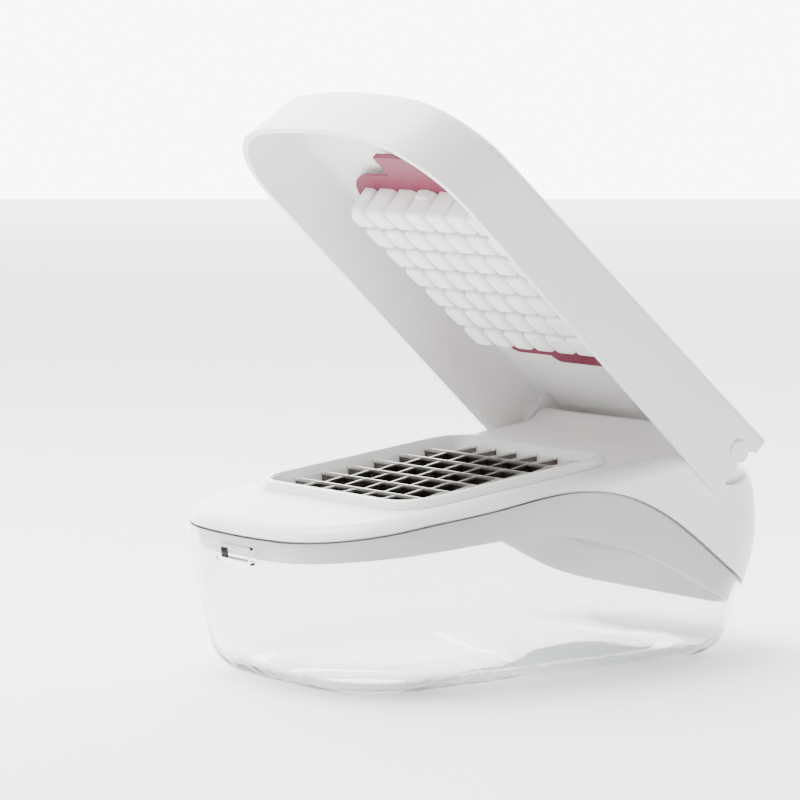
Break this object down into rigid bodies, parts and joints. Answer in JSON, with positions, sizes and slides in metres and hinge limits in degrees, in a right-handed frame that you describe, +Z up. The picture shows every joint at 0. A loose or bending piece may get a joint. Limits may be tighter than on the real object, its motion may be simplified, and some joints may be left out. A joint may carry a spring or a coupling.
{
  "type": "vegetable dicer",
  "caption": "Hand-press vegetable dicer: clear container, white deck with a square steel blade grid, and a rear-hinged press lid with push fingers and a comb.",
  "frame": {"origin": "centre of the container's foot, on the table", "axes": "+Z up, -Y towards the front where the lid opens, +Y towards the hinge, X across; the part is symmetric about X = 0"},
  "size_m": [0.127, 0.2178, 0.2198],
  "materials": {
    "clear_plastic": "clear moulded plastic, smooth",
    "white_plastic": "white moulded plastic, satin gloss",
    "magenta_plastic": "magenta moulded plastic, satin",
    "blade_steel": "stainless blade steel, fine ground",
    "screw_steel": "plated screw steel"
  },
  "bodies": {
    "base": {"container": "clear_plastic"},
    "deck": {"deck_shell": "white_plastic", "inner_skirt": "white_plastic", "blade_frame": "white_plastic", "cross_blade_1": "blade_steel", "cross_blade_2": "blade_steel", "cross_blade_3": "blade_steel", "cross_blade_4": "blade_steel", "cross_blade_5": "blade_steel", "cross_blade_6": "blade_steel", "long_blade_1": "blade_steel", "long_blade_2": "blade_steel", "long_blade_3": "blade_steel", "long_blade_4": "blade_steel", "long_blade_5": "blade_steel", "long_blade_6": "blade_steel", "blade_frame_screws": "screw_steel", "hinge_pin_left": "white_plastic", "hinge_pin_right": "white_plastic"},
    "lid": {"lid_shell": "white_plastic", "pusher_block": "white_plastic", "pusher_screws": "screw_steel"},
    "comb": {"cleaning_comb": "magenta_plastic"}
  },
  "joints": [
    {"name": "deck_lift", "type": "slide", "parent": "base", "child": "deck", "axis": [0, 0, 1], "range_m": [0, 0.06]},
    {"name": "lid_hinge", "type": "hinge", "parent": "deck", "child": "lid", "pos_m": [0, 0.087, 0.08085], "axis": [-1, 0, 0], "range_deg": [-46.5, 28]},
    {"name": "comb_slide", "type": "slide", "parent": "lid", "child": "comb", "axis": [0, -0.6408, -0.7677], "range_m": [0, 0.0024]}
  ]
}
